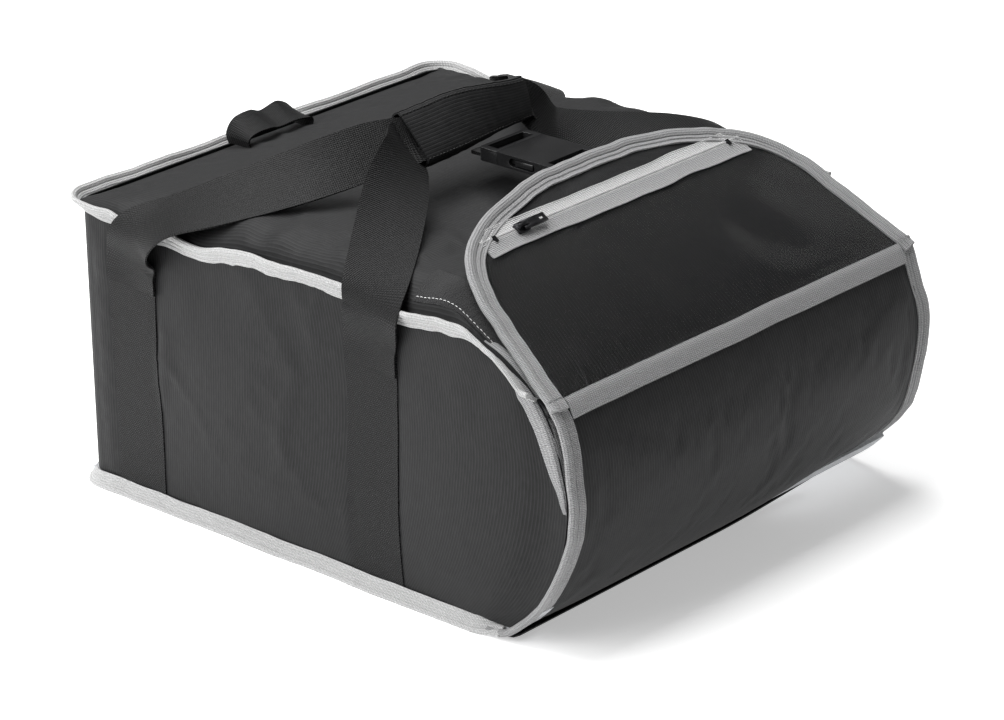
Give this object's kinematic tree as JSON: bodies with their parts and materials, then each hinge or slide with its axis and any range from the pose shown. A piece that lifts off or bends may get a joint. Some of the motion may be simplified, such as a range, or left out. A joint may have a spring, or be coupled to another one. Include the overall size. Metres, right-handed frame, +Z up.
{
  "type": "insulated food carrier",
  "caption": "Soft insulated box with a padded front flap that folds open, a carrying handle, a side-release buckle and a zipped document window.",
  "frame": {"origin": "on the ground under the middle of the box's width; Y is zero 250 mm in front of the back wall", "axes": "+X to the right, +Y towards the back, +Z up; the flap faces -Y"},
  "size_m": [0.4182, 0.5046, 0.3169],
  "materials": {
    "black_weave": "ribbed polyester oxford weave, charcoal black",
    "insulation_foam": "closed-cell foam sheet",
    "foil_lining": "aluminised foil lining",
    "white_binding": "ribbed off-white binding tape with stitching",
    "grey_binding": "ribbed grey binding tape with stitching",
    "black_webbing": "ribbed black webbing",
    "hook_loop_tape": "black hook and loop tape",
    "clear_film": "clear glossy vinyl film",
    "zip_tape": "light grey zip tape",
    "zip_coil": "light grey nylon coil",
    "black_metal": "black painted zinc",
    "buckle_plastic": "semi-gloss black acetal"
  },
  "bodies": {
    "box": {"back_foam": "insulation_foam", "back_loop": "black_webbing", "bottom_binding": "white_binding", "bottom_foam": "insulation_foam", "bottom_liner": "foil_lining", "bottom_outer": "black_weave", "buckle_frame": "buckle_plastic", "buckle_tab": "black_webbing", "handle_leg_back_left": "black_webbing", "handle_leg_back_right": "black_webbing", "handle_leg_front_left": "black_webbing", "handle_leg_front_right": "black_webbing", "left_foam": "insulation_foam", "loop_patch_left": "hook_loop_tape", "loop_patch_right": "hook_loop_tape", "mouth_binding_left": "white_binding", "mouth_binding_right": "white_binding", "right_foam": "insulation_foam", "side_strap_back_left": "black_webbing", "side_strap_back_right": "black_webbing", "side_strap_front_left": "black_webbing", "side_strap_front_right": "black_webbing", "top_binding": "white_binding", "top_foam": "insulation_foam", "top_liner": "foil_lining", "top_outer": "black_weave", "wall_liner": "foil_lining", "wall_outer": "black_weave"},
    "flap_lower": {"flap_front_outer": "black_weave", "flap_front_foam": "insulation_foam", "flap_front_liner": "foil_lining", "flap_front_binding": "grey_binding", "cross_tape": "grey_binding"},
    "flap_upper": {"lap_outer": "black_weave", "lap_foam": "insulation_foam", "lap_liner": "foil_lining", "lap_binding": "grey_binding", "window_film": "clear_film", "zip_tape_lower": "zip_tape", "zip_tape_upper": "zip_tape", "zip_teeth": "zip_coil", "zip_stops": "black_metal", "hook_patch_left": "hook_loop_tape", "hook_patch_right": "hook_loop_tape", "buckle_socket": "buckle_plastic", "socket_webbing": "black_webbing"},
    "slider": {"zip_slider": "black_metal"},
    "pull": {"zip_pull": "black_metal"},
    "grip": {"grip_webbing": "black_webbing", "grip_wrap_back": "black_weave", "grip_loop_tape": "hook_loop_tape"},
    "grip_cover": {"grip_wrap_cover": "black_weave", "grip_hook_tape": "hook_loop_tape"},
    "prong_left": {"buckle_prong_left": "buckle_plastic"},
    "prong_right": {"buckle_prong_right": "buckle_plastic"}
  },
  "joints": [
    {"name": "flap_open", "type": "hinge", "parent": "box", "child": "flap_lower", "pos_m": [0, -0.2185, 0.029], "axis": [1, 0, 0], "range_deg": [0, 85], "deforming": ["buckle_prong_left", "buckle_prong_right"]},
    {"name": "flap_fold", "type": "hinge", "parent": "flap_lower", "child": "flap_upper", "pos_m": [0, -0.235, 0.195], "axis": [1, 0, 0], "range_deg": [0, 58], "deforming": ["buckle_prong_left", "buckle_prong_right"]},
    {"name": "zip_slide", "type": "slide", "parent": "flap_upper", "child": "slider", "axis": [1, 0, 0], "range_m": [0, 0.225]},
    {"name": "zip_pull_swing", "type": "hinge", "parent": "slider", "child": "pull", "pos_m": [-0.105, -0.11662, 0.27169], "axis": [0, -0.854, -0.5203], "range_deg": [0, 150]},
    {"name": "handle_lift", "type": "slide", "parent": "box", "child": "grip", "axis": [0, 0, 1], "range_m": [0, 0.025], "deforming": ["handle_leg_back_left", "handle_leg_back_right", "handle_leg_front_left", "handle_leg_front_right"]},
    {"name": "grip_wrap_open", "type": "hinge", "parent": "grip", "child": "grip_cover", "pos_m": [-0.008, 0.03254, 0.31692], "axis": [-1, 0, 0], "range_deg": [0, 150]},
    {"name": "prong_left_squeeze", "type": "slide", "parent": "box", "child": "prong_left", "axis": [1, 0, 0], "range_m": [0, 0.003], "stiffness_N_per_m": 400},
    {"name": "prong_right_squeeze", "type": "slide", "parent": "box", "child": "prong_right", "axis": [-1, 0, 0], "range_m": [0, 0.003], "stiffness_N_per_m": 400}
  ]
}
